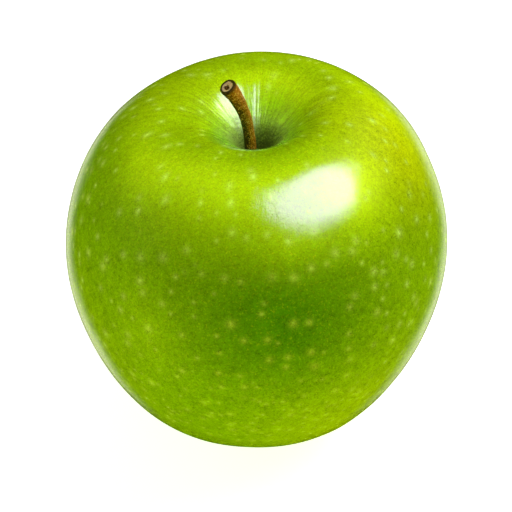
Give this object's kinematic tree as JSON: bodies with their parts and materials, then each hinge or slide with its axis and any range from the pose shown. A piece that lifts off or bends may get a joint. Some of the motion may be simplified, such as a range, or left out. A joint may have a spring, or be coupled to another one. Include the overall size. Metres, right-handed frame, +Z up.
{
  "type": "green apple",
  "caption": "Whole ripe green apple with a bent woody stem in the hollow on top and a dried calyx in the basin underneath; it stands on its base.",
  "frame": {"origin": "on the table, under the middle of the fruit", "axes": "+Z up along the core towards the stem; -Y towards the side that the stem's front is seen from; +X to the right of that view"},
  "size_m": [0.0772, 0.0787, 0.0823],
  "materials": {
    "skin": "waxy, smooth, glossy yellow-green skin with pale lenticels",
    "stem_wood": "dull brown bark with olive flecks, pale tan cut end",
    "dried_sepal": "dry, matt, downy grey-green to brown",
    "dried_stamen": "dry, matt, dark brown threads"
  },
  "bodies": {
    "root": {"fruit": "skin", "stem": "stem_wood", "sepal_1": "dried_sepal", "sepal_2": "dried_sepal", "sepal_3": "dried_sepal", "sepal_4": "dried_sepal", "sepal_5": "dried_sepal", "stamen_tuft": "dried_stamen"}
  },
  "joints": []
}
